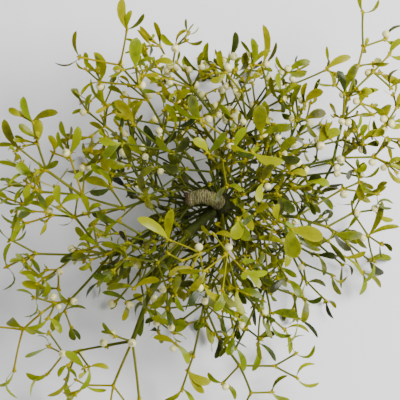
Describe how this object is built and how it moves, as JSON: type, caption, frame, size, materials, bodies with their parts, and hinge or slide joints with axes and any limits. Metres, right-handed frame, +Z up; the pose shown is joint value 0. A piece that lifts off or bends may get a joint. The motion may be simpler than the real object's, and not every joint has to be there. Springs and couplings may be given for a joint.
{
  "type": "mistletoe bunch",
  "caption": "Cut ball of mistletoe lying on a surface: a burr on a stub of host branch sends out forking green stems with paired strap leaves and pearly white berries.",
  "frame": {"origin": "the middle of the bunch's outline seen from above, on the surface that it lies on", "axes": "+Z is up from the surface; -X is the way the host's branch points with its cut end; the longest sprays lie across it along Y"},
  "size_m": [0.437, 0.4656, 0.222],
  "materials": {
    "host_bark": "rough grey-beige bark with ring marks and a red-brown sawn end",
    "burr_bark": "rough, cracked olive-brown bark",
    "stem": "smooth living yellow-green bark, golden at the forks",
    "leaf": "leathery satin yellow-green leaf with parallel veins",
    "berry": "pearly, slightly translucent white skin"
  },
  "bodies": {
    "root": {"host_branch": "host_bark", "burr": "burr_bark", "stem_south_west": "stem", "stem_west_south": "stem", "stem_west": "stem", "stem_west_north": "stem", "stem_north_west": "stem", "stem_north": "stem", "stem_north_north_east": "stem", "stem_north_east": "stem", "stem_east_north": "stem", "stem_east": "stem", "stem_south_east": "stem", "stem_south": "stem", "stem_crown_south": "stem", "stem_crown_east": "stem", "stem_crown_north": "stem", "stem_under_west": "stem", "stem_under_north": "stem", "stem_under_east": "stem", "leaf_pair_01": "leaf", "leaf_pair_02": "leaf", "leaf_pair_03": "leaf", "leaf_pair_04": "leaf", "leaf_pair_05": "leaf", "leaf_pair_06": "leaf", "leaf_pair_07": "leaf", "leaf_pair_08": "leaf", "leaf_pair_09": "leaf", "leaf_pair_10": "leaf", "leaf_pair_11": "leaf", "leaf_pair_12": "leaf", "leaf_pair_13": "leaf", "leaf_pair_14": "leaf", "leaf_pair_15": "leaf", "leaf_pair_16": "leaf", "leaf_pair_17": "leaf", "leaf_pair_18": "leaf", "leaf_pair_19": "leaf", "leaf_pair_20": "leaf", "berry_01": "berry", "berry_02": "berry", "berry_03": "berry", "berry_04": "berry", "berry_05": "berry", "berry_06": "berry", "berry_07": "berry", "berry_08": "berry", "berry_09": "berry", "berry_10": "berry", "berry_11": "berry", "berry_12": "berry", "berry_13": "berry", "berry_14": "berry", "berry_15": "berry", "berry_16": "berry", "berry_17": "berry", "berry_18": "berry", "berry_19": "berry", "berry_20": "berry"}
  },
  "joints": []
}
